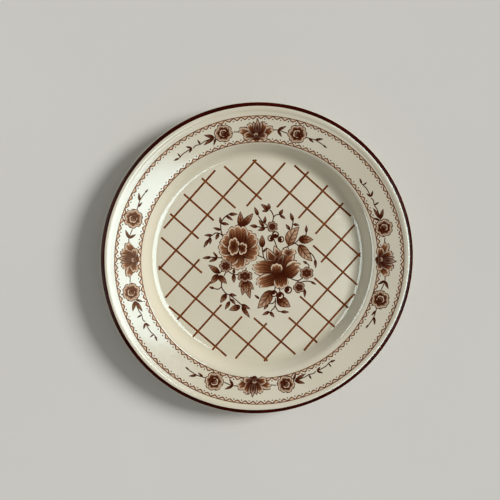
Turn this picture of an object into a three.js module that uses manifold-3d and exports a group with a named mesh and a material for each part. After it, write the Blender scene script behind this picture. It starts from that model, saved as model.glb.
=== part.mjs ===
// China dinner plate with a printed trellis and bouquet. Millimetres, +Z up, resting on its foot ring.
// One fired clay body carries a glaze and a set of thin printed films, each one a solid of its own.
import * as THREE from 'three';
import { mergeVertices } from 'three/addons/utils/BufferGeometryUtils.js';
import Module from 'manifold-3d';

const wasm = await Module();
wasm.setup();

// ---- driving dimensions -------------------------------------------------------------------------
const plateDiameter = 266;
const plateHeight = 24;           // foot to the crest of the lip
const flangeInnerDiameter = plateDiameter * 0.7594;  // where the well's shoulder runs out into the flange
const footInset = 7.16;           // from the edge of the flat floor in to the foot ring
const footWidth = 5;
const footHeight = 3;
const thickness = 4.6;            // clay and glaze together, everywhere but at the lip
const glaze = 0.3;
const film = 0.1;                 // thickness of every printed film
const seam = 0.005;               // play between the glaze coat and the clay

const flangeAngle = rad(10);      // slopes against the horizontal
const wallAngle = rad(50);
const lipAngle = rad(28);
const bandAngle = rad(32);
const coveRadius = 10;            // bends of the section
const shoulderRadius = 6;
const lipStepRadius = 3;
const crestRadius = 7;
const edgeRadius = 1.3;
const footFillet = 1.5;
const glazeEnd = 1;               // the glaze stops this high above the table

const segments = 60;              // facets round the plate, the same for every turned piece
const plateRadius = plateDiameter / 2;
const floorHeight = footHeight + thickness;

// The transfers are laid by hand, a little off the plate's centre.
const borderShift = new THREE.Vector2(1.8, -1.6);
const trellisShift = new THREE.Vector2(2.6, -2.8);
const printReach = plateHeight + 10;

function rad(degrees) {
  return THREE.MathUtils.degToRad(degrees);
}

// ---- the section ----------------------------------------------------------------------------------
// A stop is a point of the outer skin with the direction that faces out of the plate there.
function makeWalk(radius, height) {
  const at = new THREE.Vector2(radius, height);
  let heading = 0;
  const stops = [];
  const normal = () => new THREE.Vector2(-Math.sin(heading), Math.cos(heading));
  const mark = () => stops.push({ point: at.clone(), normal: normal() });
  mark();
  return {
    stops,
    straight(length) {
      at.add(new THREE.Vector2(Math.cos(heading), Math.sin(heading)).multiplyScalar(length));
      mark();
    },
    bend(bendRadius, turn, steps) {
      const towards = Math.sign(turn) * bendRadius;
      const centre = at.clone().addScaledVector(normal(), towards);
      for (let i = 0; i < steps; i += 1) {
        heading += turn / steps;
        at.copy(centre).addScaledVector(normal(), -towards);
        mark();
      }
    },
  };
}

const lipRun = lipStepRadius * (Math.sin(lipAngle) - Math.sin(flangeAngle))
  + crestRadius * (Math.sin(lipAngle) + Math.sin(bandAngle))
  + edgeRadius * (1 - Math.sin(bandAngle));
const flangeLength = (plateRadius - lipRun - flangeInnerDiameter / 2) / Math.cos(flangeAngle);
const wallRise = plateHeight - floorHeight
  - coveRadius * (1 - Math.cos(wallAngle))
  - shoulderRadius * (Math.cos(flangeAngle) - Math.cos(wallAngle))
  - flangeLength * Math.sin(flangeAngle)
  - lipStepRadius * (Math.cos(flangeAngle) - Math.cos(lipAngle))
  - crestRadius * (1 - Math.cos(lipAngle));
const wallLength = wallRise / Math.sin(wallAngle);
const floorRadius = flangeInnerDiameter / 2
  - shoulderRadius * (Math.sin(wallAngle) - Math.sin(flangeAngle))
  - wallLength * Math.cos(wallAngle)
  - coveRadius * Math.sin(wallAngle);

// Eating surface, from the axis to the underside of the rolled edge.
const walk = makeWalk(0, floorHeight);
walk.straight(floorRadius);
walk.bend(coveRadius, wallAngle, 2);
walk.straight(wallLength);
walk.bend(shoulderRadius, flangeAngle - wallAngle, 2);
walk.straight(flangeLength);
const flangeEnd = walk.stops.length - 1;
walk.bend(lipStepRadius, lipAngle - flangeAngle, 1);
walk.bend(crestRadius, -lipAngle, 1);
walk.bend(crestRadius, -bandAngle, 2);
walk.bend(edgeRadius, bandAngle - Math.PI / 2, 2);
const edgeStop = walk.stops.length;
walk.bend(edgeRadius, flangeAngle - Math.PI / 2, 2);

// The underside follows the eating surface at the plate's thickness, as far in as the floor.
const underside = walk.stops.slice(1, flangeEnd + 1).reverse().map(({ point, normal }) => ({
  point: point.clone().addScaledVector(normal, -thickness),
  normal: normal.clone().negate(),
}));

// Outside of the foot ring, down to where the glaze stops.
const footRadius = floorRadius - footInset;
const footOutside = [0, 0.5, 1].map((share) => {
  const turn = share * Math.PI / 2;
  const normal = new THREE.Vector2(Math.sin(turn), -Math.cos(turn));
  const centre = new THREE.Vector2(footRadius + footFillet, footHeight - footFillet);
  return { point: centre.addScaledVector(normal, -footFillet), normal };
});
footOutside.push({ point: new THREE.Vector2(footRadius, glazeEnd), normal: new THREE.Vector2(1, 0) });

const skin = [...walk.stops, ...underside, ...footOutside];

function offset(stops, distance) {
  return stops.map(({ point, normal }) => point.clone().addScaledVector(normal, distance));
}

// ---- solids -----------------------------------------------------------------------------------------
// Turns a closed profile, given from the top of the axis outward, about +Z.
function turned(profile) {
  const geometry = new THREE.LatheGeometry(profile.reverse(), segments);
  return geometry.rotateX(Math.PI / 2);
}

function toSolid(geometry) {
  const bare = new THREE.BufferGeometry();
  bare.setAttribute('position', geometry.getAttribute('position'));
  if (geometry.index) bare.setIndex(geometry.index);
  const merged = mergeVertices(bare, 1e-5);
  const mesh = new wasm.Mesh({
    numProp: 3,
    vertProperties: new Float32Array(merged.getAttribute('position').array),
    triVerts: new Uint32Array(merged.index.array),
  });
  mesh.merge();
  return new wasm.Manifold(mesh);
}

function toGeometry(solid) {
  const mesh = solid.getMesh();
  const geometry = new THREE.BufferGeometry();
  geometry.setAttribute('position', new THREE.BufferAttribute(mesh.vertProperties, 3));
  geometry.setIndex(new THREE.BufferAttribute(mesh.triVerts, 1));
  geometry.computeVertexNormals();
  return geometry;
}

// Upright prism over a flat outline, taller than the plate.
function prism(shape, curveSegments = 3) {
  return toSolid(new THREE.ExtrudeGeometry(shape, { depth: printReach, bevelEnabled: false, curveSegments }));
}

// The layer just above the glaze that every printed film is cut from.
const printLayer = toSolid(turned([
  ...offset(walk.stops.slice(0, edgeStop), film),
  ...offset(walk.stops.slice(0, edgeStop), 0).reverse(),
]));

function printed(prisms) {
  return toGeometry(wasm.Manifold.intersection(printLayer, wasm.Manifold.union(prisms)));
}

// ---- outlines ---------------------------------------------------------------------------------------
function circlePoints(radius, count, centre = new THREE.Vector2()) {
  return Array.from({ length: count }, (_, i) => {
    const angle = (i / count) * 2 * Math.PI;
    return new THREE.Vector2(Math.cos(angle), Math.sin(angle)).multiplyScalar(radius).add(centre);
  });
}

// Pointed leaf or petal from its stalk end to its tip.
function leaf([x0, y0], [x1, y1], width) {
  const side = new THREE.Vector2(y0 - y1, x1 - x0).setLength(width);
  const belly = new THREE.Vector2(x0 + (x1 - x0) * 0.45, y0 + (y1 - y0) * 0.45);
  const shape = new THREE.Shape().moveTo(x0, y0);
  shape.quadraticCurveTo(belly.x + side.x, belly.y + side.y, x1, y1);
  shape.quadraticCurveTo(belly.x - side.x, belly.y - side.y, x0, y0);
  return shape;
}

// Round flower whose rim waves in and out once for every petal.
function rosette([x, y], radius, petals) {
  const points = Array.from({ length: petals * 2 }, (_, i) => {
    const angle = (i / (petals * 2)) * 2 * Math.PI;
    const reach = radius * (0.96 + 0.04 * Math.cos(petals * angle));
    return new THREE.Vector2(x + reach * Math.cos(angle), y + reach * Math.sin(angle));
  });
  return new THREE.Shape(points);
}

// Thin ribbon along a row of points.
function stem(points, width = 0.7) {
  const curve = new THREE.CatmullRomCurve3(points.map(([x, y]) => new THREE.Vector3(x, y, 0)));
  const count = (points.length - 1) * 2;  // a stop at every given point and one between
  const side = (share, sign) => {
    const along = curve.getTangent(share);
    const across = new THREE.Vector2(-along.y, along.x).setLength(sign * width / 2);
    const at = curve.getPoint(share);
    return new THREE.Vector2(at.x + across.x, at.y + across.y);
  };
  const shares = Array.from({ length: count + 1 }, (_, i) => i / count);
  const left = shares.map((share) => side(share, 1));
  const right = shares.map((share) => side(share, -1));
  return new THREE.Shape([...left, ...right.reverse()]);
}

// ---- rim and well prints -----------------------------------------------------------------------------
// The borders follow the flange, and the sprays fill what the borders leave free between them.
const outerLine = plateRadius - lipRun - 1.6;
const innerLine = flangeInnerDiameter / 2 + 0.3;
const outerDepth = -2.5;
const innerDepth = 2.6;
const sprayMiddle = (outerLine + outerDepth + innerLine + innerDepth) / 2;
const sprayRoom = outerLine + outerDepth - innerLine - innerDepth;
const drawnMiddle = 112.15;       // the sprays are drawn about this radius, for this much room
const drawnRoom = 16.5;
const sprayScale = sprayRoom / drawnRoom;

// Trellis and bouquet are drawn for a floor of 85.16 mm radius and sized to suit the real one.
function printedInWell(prisms) {
  const wellScale = floorRadius / 85.16;
  return printed([wasm.Manifold.union(prisms).scale([wellScale, wellScale, 1])]);
}

// Maroon band painted round the outer slope of the lip.
function rimBand() {
  const outside = new THREE.Shape(circlePoints(plateRadius - 0.4, segments));
  outside.holes.push(new THREE.Path(circlePoints(plateRadius - 3.4, segments)));
  return printed([prism(outside)]);
}

// A line with a row of scallops on one side of it: towards the centre when depth is negative.
function scallopBorder(lineRadius, depth, scallops) {
  const line = circlePoints(lineRadius, scallops / 2, borderShift);
  const wave = Array.from({ length: scallops * 2 }, (_, i) => {
    const angle = (i / (scallops * 2)) * 2 * Math.PI;
    const reach = lineRadius + (i % 2 === 0 ? depth : depth * 0.35);
    return new THREE.Vector2(Math.cos(angle), Math.sin(angle)).multiplyScalar(reach).add(borderShift);
  });
  const [outer, inner] = depth < 0 ? [line, wave] : [wave, line];
  const shape = new THREE.Shape(outer);
  shape.holes.push(new THREE.Path(inner));
  return printed([prism(shape)]);
}

// Two families of parallel lines, cut to a ring that leaves the middle free for the bouquet.
const trellis = { pitch: 20.2, turn: rad(3.2), reach: 4.32, void: 2.5, lines: 4, width: 1.1 };

function trellisPrint() {
  const bars = [];
  for (const family of [rad(45), rad(-45)]) {
    for (let line = -trellis.lines; line <= trellis.lines; line += 1) {
      const end = Math.sqrt(trellis.reach ** 2 - line ** 2);
      const start = Math.abs(line) < trellis.void ? Math.sqrt(trellis.void ** 2 - line ** 2) : 0;
      const spans = start > 0 ? [[-end, -start], [start, end]] : [[-end, end]];
      for (const [from, to] of spans) {
        const bar = new THREE.BoxGeometry((to - from) * trellis.pitch, trellis.width, printReach);
        bar.translate((from + to) / 2 * trellis.pitch, line * trellis.pitch, printReach / 2);
        bar.rotateZ(family + trellis.turn);
        bar.translate(trellisShift.x, trellisShift.y, 0);
        bars.push(toSolid(bar));
      }
    }
  }
  return printedInWell(bars);
}

// One flower spray of the rim, drawn at the top of the plate: [x, y] from the border's centre.
function spray(turn) {
  const at = ([x, y]) => {
    const drawn = new THREE.Vector2(x, y);
    return drawn.setLength(sprayMiddle + (drawn.length() - drawnMiddle) * sprayScale).toArray();
  };
  const twig = (points) => stem(points.map(at));
  const blade = (base, tip, width) => leaf(at(base), at(tip), width * sprayScale);
  const rose = (centre) => rosette(at(centre), 7.4 * sprayScale, 7);
  const shapes = [
    twig([[-70, 89], [-63, 93.4], [-55, 98], [-46, 101], [-38, 105], [-35, 106.2], [-28, 108]]),
    blade([-63, 93.4], [-71, 88], 1.4),
    blade([-55, 98], [-60, 98.3], 1.3),
    blade([-55, 98], [-58, 94.3], 1.3),
    blade([-35, 106.2], [-44, 101], 3.4),
    blade([-35, 106.2], [-43.5, 107.5], 2),
    rose([-28, 109]),
    twig([[-25, 110], [-12, 109.5], [2, 109], [18, 110.5], [30, 108]]),
    blade([4, 107.5], [-14, 111], 6.5),
    blade([1, 106.5], [0, 119.5], 6),
    blade([2, 107.5], [13, 116], 5.5),
    blade([0, 107.5], [13, 109], 4.6),
    blade([18, 110.5], [25, 113], 1.6),
    blade([18, 110.5], [21, 104.5], 1.6),
    rose([34, 107]),
    twig([[36, 106.4], [43, 104], [49, 102], [54, 100]]),
    blade([43, 104], [49, 99.5], 1.6),
    blade([49, 102], [56, 103], 1.4),
    blade([49, 102], [57, 97], 1.4),
  ];
  const prisms = shapes.map((shape) => prism(shape, 2));
  const drawn = wasm.Manifold.union(prisms).rotate([0, 0, turn]).translate([borderShift.x, borderShift.y, 0]);
  return printed([drawn]);
}

// The bouquet in the middle of the well: [x, y] from the plate's centre.
function bouquetPrint() {
  const flowers = [
    rosette([-15.5, 9.5], 17.5, 8),
    rosette([13, 27], 4.9, 7),
    rosette([-27, -6.5], 5.4, 7),
    rosette([-10, -15.5], 6.3, 6),
    rosette([43, -13.5], 5.6, 6),
    rosette([36.5, -26], 4.8, 6),
    rosette([11.5, 17.5], 2.7, 5),
    rosette([16, 20], 2.8, 5),
    rosette([20.5, 16], 2.7, 5),
    rosette([14.5, -31], 3.1, 5),
    rosette([20, -33], 3.4, 5),
    rosette([27, -28], 3.2, 5),
  ];
  const lily = [
    leaf([21, -14], [-4, -7], 13),
    leaf([22, -14], [-2, -22], 12),
    leaf([19, -12], [22, -27], 12),
    leaf([20, -15], [35, -3], 12),
    leaf([20, -15], [31, 8], 14),
    leaf([20, -14], [10, 8], 12),
  ];
  const leaves = [
    leaf([-14, 27], [-14, 40.5], 4.4),
    leaf([-13, 29], [-4.5, 38.5], 4.2),
    leaf([-27.5, 36.5], [-17, 38], 2.6),
    leaf([-31, 31], [-32, 36], 2),
    leaf([-31, 30], [-24, 29], 2.2),
    leaf([-31, 24.5], [-38, 27], 2),
    leaf([-38, 20], [-45, 20], 2),
    leaf([-40, 18], [-46, 10], 2.2),
    leaf([-32, 0.5], [-46, 1.5], 2),
    leaf([-32, 1], [-41, -2.5], 2.4),
    leaf([-29.5, -12.5], [-41, -5.5], 4),
    leaf([-30, -13.5], [-39, -21], 4),
    leaf([-30, -13.5], [-27, -21], 4),
    leaf([-27, -30], [-31.5, -38], 4),
    leaf([-13, -41], [-24, -45], 5),
    leaf([-14, -41], [-7, -51], 3.4),
    leaf([-10, -19], [-8, -34], 11),
    leaf([4.5, 9], [4.5, 19], 4.4),
    leaf([27.5, 10], [35, 26], 10),
    leaf([34, 15], [48, 16], 7),
    leaf([35, 11], [46.5, -1], 8),
    leaf([12, -30.5], [1, -42.5], 9),
    leaf([17, -36], [28.5, -42], 8),
    leaf([2.4, 35.5], [-1.5, 44], 2.6),
    leaf([12, 42], [4, 45], 3),
    leaf([24, 34], [17, 38], 2),
    leaf([9, 27], [-5, 27], 3),
    leaf([31, 30], [29, 38], 2.4),
  ];
  const stems = [
    stem([[-27, 18], [-31, 24], [-31, 31], [-26, 37], [-21, 38]]),
    stem([[-27, 19], [-32, 22], [-38, 20.5], [-43, 17], [-44, 14]]),
    stem([[-14, 20], [-14, 30]]),
    stem([[-24, 3], [-34, 1]]),
    stem([[-24, 0], [-27, -6], [-30, -13], [-31, -24], [-26, -31], [-13, -41], [-11, -44]]),
    stem([[-27, -8], [-20, -14], [-10, -14]]),
    stem([[-12, -5], [-10, -12], [-9.5, -22]]),
    stem([[-4, 3], [5, 1], [9, -3], [16, -10]]),
    stem([[4.5, 12], [5, 4], [9, -3]]),
    stem([[2, 36], [8, 28], [13, 27]]),
    stem([[13, 27], [14, 35], [10, 43]]),
    stem([[14, 35], [18, 37.5], [22, 35.5]]),
    stem([[13, 26], [16, 20], [15, 15], [18, 8], [19, 0]]),
    stem([[11.5, 17.5], [16, 18.5], [20.5, 16]]),
    stem([[24, 4], [29, 10], [33, 14], [38, 16]]),
    stem([[33, 11], [29, 9.5], [30, 25], [31, 32]]),
    stem([[22, -14], [35, -20], [43, -15]]),
    stem([[35, -20], [37, -26]]),
    stem([[18, -20], [15.5, -28], [16, -38], [15, -43], [12, -47]]),
    stem([[21, -24], [27, -28]]),
    stem([[33, 11], [36, 10.5], [39, 8]]),
    stem([[14, -31], [20, -33], [17, -36]]),
  ];
  const shapes = [...flowers, ...lily, ...leaves, ...stems];
  return printedInWell(shapes.map((shape) => prism(shape, 3)));
}

// ---- assembly --------------------------------------------------------------------------------------
const footInner = footRadius - footWidth;
const baseRadius = footInner - footFillet;

// Fired clay: everything inside the glaze, with the bare foot ring.
function bisqueBody() {
  return turned([
    ...offset(skin, -glaze - seam),
    new THREE.Vector2(footRadius - glaze - seam, 0.5),
    new THREE.Vector2(footRadius - glaze - seam - 0.5, 0),
    new THREE.Vector2(footInner + 0.5, 0),
    new THREE.Vector2(footInner, 0.5),
    new THREE.Vector2(footInner, footHeight - footFillet),
    new THREE.Vector2(baseRadius, footHeight),
    new THREE.Vector2(0, footHeight),
  ]);
}

// Glaze over the front, round the edge and down the back to the foot ring.
function glazeCoat() {
  return turned([...offset(skin, 0), ...offset(skin, -glaze).reverse()]);
}

// The separate disc of glaze inside the foot ring.
function baseGlaze() {
  return turned([
    new THREE.Vector2(0, footHeight),
    new THREE.Vector2(baseRadius, footHeight),
    new THREE.Vector2(baseRadius, footHeight - glaze),
    new THREE.Vector2(0, footHeight - glaze),
  ]);
}

const looks = {
  bisque: { color: 0xd9cdb4, roughness: 0.85, metalness: 0 },
  glaze: { color: 0xe0dcc8, roughness: 0.12, metalness: 0 },
  band: { color: 0x3a0c06, roughness: 0.18, metalness: 0 },
  borderInk: { color: 0x8e5c3d, roughness: 0.18, metalness: 0 },
  flowerInk: { color: 0x6b3a22, roughness: 0.18, metalness: 0 },
  trellisInk: { color: 0x5f3216, roughness: 0.18, metalness: 0 },
};

const plate = new THREE.Group();
plate.name = 'dinner_plate';

function add(name, geometry, look) {
  const mesh = new THREE.Mesh(geometry, new THREE.MeshStandardMaterial(looks[look]));
  mesh.name = name;
  mesh.material.name = look;
  plate.add(mesh);
}

add('bisque_body', bisqueBody(), 'bisque');
add('glaze_coat', glazeCoat(), 'glaze');
add('base_glaze', baseGlaze(), 'glaze');
add('rim_band', rimBand(), 'band');
add('outer_border_print', scallopBorder(outerLine, outerDepth, 114), 'borderInk');
add('inner_border_print', scallopBorder(innerLine, innerDepth, 98), 'borderInk');
add('spray_top', spray(0), 'flowerInk');
add('spray_right', spray(-90), 'flowerInk');
add('spray_bottom', spray(180), 'flowerInk');
add('spray_left', spray(90), 'flowerInk');
add('trellis_print', trellisPrint(), 'trellisInk');
add('bouquet_print', bouquetPrint(), 'flowerInk');

export default plate;
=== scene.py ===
"""China dinner plate: cream glaze, maroon lip band, brown scalloped borders, sprays, trellis and bouquet.

Metres, +Z up, the plate resting on its foot ring. The prints are laid out flat in millimetres, as a
pattern maker would draw them for a plate 266 mm across, and turned into metres where they are lifted
on to the glaze. Angles are written in degrees.
"""

from math import copysign, cos, pi, radians, sin, sqrt

import bpy
import numpy as np
from mathutils import Matrix, Vector


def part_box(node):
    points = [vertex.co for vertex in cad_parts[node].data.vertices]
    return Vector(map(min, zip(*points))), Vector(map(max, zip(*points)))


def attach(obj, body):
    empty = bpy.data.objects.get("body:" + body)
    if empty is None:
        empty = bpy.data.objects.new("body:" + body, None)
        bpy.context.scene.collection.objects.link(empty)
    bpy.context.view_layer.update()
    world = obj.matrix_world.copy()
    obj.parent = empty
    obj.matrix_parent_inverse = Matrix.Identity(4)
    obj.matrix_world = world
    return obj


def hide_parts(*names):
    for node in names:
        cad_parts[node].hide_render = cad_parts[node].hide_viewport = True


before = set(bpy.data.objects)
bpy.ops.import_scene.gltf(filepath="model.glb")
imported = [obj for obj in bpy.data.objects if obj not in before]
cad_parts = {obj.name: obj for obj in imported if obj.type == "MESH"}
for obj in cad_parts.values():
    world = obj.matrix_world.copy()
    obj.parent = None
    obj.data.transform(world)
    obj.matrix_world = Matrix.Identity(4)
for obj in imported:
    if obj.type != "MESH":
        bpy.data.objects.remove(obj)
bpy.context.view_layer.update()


# ---- sizes taken from the frame ------------------------------------------------------------------
MM = 0.001
plate_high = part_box("glaze_coat")[1]
base_low, base_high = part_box("base_glaze")
bouquet_low, bouquet_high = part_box("bouquet_print")

PLATE_RADIUS = plate_high.x
PLATE_HEIGHT = plate_high.z
GLAZE = base_high.z - base_low.z
FOOT_HEIGHT = base_high.z
FLOOR_HEIGHT = bouquet_low.z
THICKNESS = FLOOR_HEIGHT - FOOT_HEIGHT
FILM = bouquet_high.z - bouquet_low.z
DRAWN_RADIUS = 133           # the plate's radius in the drawings of the prints
DRAWING_UNIT = PLATE_RADIUS / DRAWN_RADIUS

# ---- bends of the section, the same as the solid's -----------------------------------------------
FLANGE_INNER = 101 * DRAWING_UNIT
FLANGE_ANGLE = radians(10)
WALL_ANGLE = radians(50)
LIP_ANGLE = radians(28)
BAND_ANGLE = radians(32)
COVE_RADIUS = 10 * MM
SHOULDER_RADIUS = 6 * MM
LIP_STEP_RADIUS = 3 * MM
CREST_RADIUS = 7 * MM
EDGE_RADIUS = 1.3 * MM
FOOT_FILLET = 1.5 * MM
FOOT_WIDTH = 5 * MM
FOOT_INNER = base_high.x + FOOT_FILLET
FOOT_RADIUS = FOOT_INNER + FOOT_WIDTH
FOOT_SOFTENING = 0.5 * MM    # rounding of the ring's two bottom edges
GLAZE_END = 1.0 * MM         # height at which the glaze stops on the ring's outside


class Walk:
    """Follows the skin of the section and keeps each stop's (r, z) and the direction facing out."""

    def __init__(self, radius, height):
        self.at = np.array([radius, height])
        self.heading = 0.0
        self.points = []
        self.normals = []
        self.ends = {}
        self.mark()

    def normal(self):
        return np.array([-sin(self.heading), cos(self.heading)])

    def mark(self):
        self.points.append(self.at.copy())
        self.normals.append(self.normal())

    def end(self, stretch):
        """Notes the latest stop as the end of a stretch of the section."""
        self.ends[stretch] = len(self.points) - 1

    def straight(self, length, steps):
        step = np.array([cos(self.heading), sin(self.heading)]) * length / steps
        for _ in range(steps):
            self.at = self.at + step
            self.mark()

    def bend(self, radius, turn, steps):
        offset = copysign(radius, turn)
        centre = self.at + self.normal() * offset
        for _ in range(steps):
            self.heading += turn / steps
            self.at = centre - self.normal() * offset
            self.mark()


def eating_surface():
    """The walk from the axis over floor, wall, flange and lip to the underside of the rolled edge."""
    lip_run = LIP_STEP_RADIUS * (sin(LIP_ANGLE) - sin(FLANGE_ANGLE))
    lip_run += CREST_RADIUS * (sin(LIP_ANGLE) + sin(BAND_ANGLE))
    lip_run += EDGE_RADIUS * (1 - sin(BAND_ANGLE))
    flange_length = (PLATE_RADIUS - lip_run - FLANGE_INNER) / cos(FLANGE_ANGLE)
    wall_rise = PLATE_HEIGHT - FLOOR_HEIGHT
    wall_rise -= COVE_RADIUS * (1 - cos(WALL_ANGLE))
    wall_rise -= SHOULDER_RADIUS * (cos(FLANGE_ANGLE) - cos(WALL_ANGLE))
    wall_rise -= flange_length * sin(FLANGE_ANGLE)
    wall_rise -= LIP_STEP_RADIUS * (cos(FLANGE_ANGLE) - cos(LIP_ANGLE))
    wall_rise -= CREST_RADIUS * (1 - cos(LIP_ANGLE))
    wall_length = wall_rise / sin(WALL_ANGLE)
    floor_radius = FLANGE_INNER - SHOULDER_RADIUS * (sin(WALL_ANGLE) - sin(FLANGE_ANGLE))
    floor_radius -= wall_length * cos(WALL_ANGLE) + COVE_RADIUS * sin(WALL_ANGLE)
    walk = Walk(0.0, FLOOR_HEIGHT)
    walk.straight(floor_radius, steps=24)
    walk.end("floor")
    walk.bend(COVE_RADIUS, WALL_ANGLE, steps=12)
    walk.straight(wall_length, steps=6)
    walk.bend(SHOULDER_RADIUS, FLANGE_ANGLE - WALL_ANGLE, steps=10)
    walk.straight(flange_length, steps=12)
    walk.end("flange")
    walk.bend(LIP_STEP_RADIUS, LIP_ANGLE - FLANGE_ANGLE, steps=6)
    walk.bend(CREST_RADIUS, -LIP_ANGLE, steps=8)
    walk.bend(CREST_RADIUS, -BAND_ANGLE, steps=8)
    walk.bend(EDGE_RADIUS, BAND_ANGLE - pi / 2, steps=8)
    walk.end("lip")
    walk.bend(EDGE_RADIUS, FLANGE_ANGLE - pi / 2, steps=8)
    return walk


front = eating_surface()
FRONT_POINTS = np.array(front.points)
FRONT_NORMALS = np.array(front.normals)
FLOOR_RADIUS = FRONT_POINTS[front.ends["floor"], 0]


def whole_skin():
    """Points and outward normals of the glazed skin, from the axis on top to the foot ring below.

    The back runs a wall's thickness under the front, from the flange's end to the floor's end.
    """
    back = slice(front.ends["flange"], front.ends["floor"] - 1, -1)
    under_points = FRONT_POINTS[back] - THICKNESS * FRONT_NORMALS[back]
    under_normals = -FRONT_NORMALS[back]
    turns = np.linspace(0, pi / 2, 7)
    fillet_normals = np.stack([np.sin(turns), -np.cos(turns)], 1)
    fillet_centre = np.array([FOOT_RADIUS + FOOT_FILLET, FOOT_HEIGHT - FOOT_FILLET])
    fillet_points = fillet_centre - FOOT_FILLET * fillet_normals
    points = [FRONT_POINTS, under_points, fillet_points, [[FOOT_RADIUS, GLAZE_END]]]
    normals = [FRONT_NORMALS, under_normals, fillet_normals, [[1.0, 0.0]]]
    return np.vstack(points), np.vstack(normals)


SKIN_POINTS, SKIN_NORMALS = whole_skin()


def skin_offset(distance):
    """The skin moved outward by a distance, or inward where that is negative."""
    return SKIN_POINTS + SKIN_NORMALS * distance


# ---- meshes of revolution -------------------------------------------------------------------------
FACETS = 288                 # round the plate


def new_piece(name, vertices, faces, smooth_below=40):
    """Mesh object that shades smoothly over edges flatter than smooth_below."""
    mesh = bpy.data.meshes.new(name)
    mesh.from_pydata([tuple(v) for v in vertices], [], faces)
    mesh.shade_smooth()
    mesh.set_sharp_from_angle(angle=radians(smooth_below))
    piece = bpy.data.objects.new(name, mesh)
    bpy.context.collection.objects.link(piece)
    return piece


def turned(name, profile):
    """Closed surface swept about +Z by a profile that runs from the top of the axis to its bottom."""
    angles = np.arange(FACETS) * 2 * pi / FACETS
    around = np.stack([np.cos(angles), np.sin(angles)], 1)
    vertices = [(0.0, 0.0, profile[0][1])]
    for radius, height in profile[1:-1]:
        vertices += [(x * radius, y * radius, height) for x, y in around]
    vertices.append((0.0, 0.0, profile[-1][1]))
    faces = []
    rings = len(profile) - 2
    last = len(vertices) - 1
    for i in range(FACETS):
        j = (i + 1) % FACETS
        faces.append((0, 1 + i, 1 + j))
        for row in range(rings - 1):
            top = 1 + row * FACETS
            below = top + FACETS
            faces.append((top + i, below + i, below + j, top + j))
        bottom = 1 + (rings - 1) * FACETS
        faces.append((bottom + i, last, bottom + j))
    return new_piece(name, vertices, faces)


def glaze_coat():
    """Outer skin and, a glaze's thickness inside it, the face that lies on the clay."""
    outer = skin_offset(0.0)
    inner = skin_offset(-GLAZE)[::-1]
    return turned("glaze_skin", np.vstack([outer, inner]))


def quarter_arc(centre, radius, start, stop):
    """Quarter of a circle in the section, between two directions in degrees."""
    angles = np.radians(np.linspace(start, stop, 5))
    return np.array(centre) + radius * np.column_stack([np.cos(angles), np.sin(angles)])


def bisque_body():
    """The clay inside the glaze, with the foot ring's softened bottom edges."""
    soft = FOOT_SOFTENING
    outer_edge = quarter_arc((FOOT_RADIUS - GLAZE - soft, soft), soft, 0, -90)
    inner_edge = quarter_arc((FOOT_INNER + soft, soft), soft, -90, -180)
    fillet = quarter_arc((FOOT_INNER - FOOT_FILLET, FOOT_HEIGHT - FOOT_FILLET), FOOT_FILLET, 0, 90)
    axis = [(0.0, FOOT_HEIGHT)]
    return turned("clay_body", np.vstack([skin_offset(-GLAZE), outer_edge, inner_edge, fillet, axis]))


def base_glaze():
    """Disc of glaze inside the foot ring, thinning to nothing where it meets the ring's fillet."""
    rim = base_high.x
    under = FOOT_HEIGHT - GLAZE
    profile = [
        (0.0, FOOT_HEIGHT),
        (rim, FOOT_HEIGHT),
        (rim - 0.2 * MM, FOOT_HEIGHT - 0.6 * GLAZE),
        (rim - 0.8 * MM, under),
        (rim * 0.5, under),
        (0.0, under),
    ]
    return turned("base_glaze_disc", profile)


# ---- drawing on the glaze -------------------------------------------------------------------------
INK_LIFT = 0.15 * FILM       # the lowest ink lies this far above the glaze
INK_LEVELS = 26              # overlapping shapes are stacked within the film's thickness
LEVEL_STEP = (FILM - INK_LIFT) / INK_LEVELS
REACH_ROWS = np.array([0.0, 0.3, 0.55, 0.75, 0.88, 1.0])[:, None]
LOBE_POWER = 0.6             # below one: the lobes of a rim are full, with narrow notches between
LOBE_COLUMNS = 8
LEAF_BELLY = 0.75            # below one: a leaf's broadest place is nearer to its base than to its tip
SIDE_FADE = 0.28             # towards its base a petal's side counts as this share of its width further in
ON_FRONT = slice(0, front.ends["lip"] + 1)


def lifted(points, heights):
    """Drawn points [x, y] raised off the eating surface along its normal, and those normals."""
    flat = np.asarray(points) * DRAWING_UNIT
    radius = np.maximum(np.hypot(flat[:, 0], flat[:, 1]), 1e-9)
    front_radii = FRONT_POINTS[ON_FRONT, 0]
    surface = np.interp(radius, front_radii, FRONT_POINTS[ON_FRONT, 1])
    lean = np.interp(radius, front_radii, FRONT_NORMALS[ON_FRONT, 0])
    rise = np.interp(radius, front_radii, FRONT_NORMALS[ON_FRONT, 1])
    outward = flat / radius[:, None]
    normals = np.column_stack([outward * lean[:, None], rise])
    return np.column_stack([flat, surface]) + normals * heights[:, None], normals


def spun(x, y, degrees):
    """x and y turned anticlockwise about the origin."""
    c = cos(radians(degrees))
    s = sin(radians(degrees))
    return c * x - s * y, s * x + c * y


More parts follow.
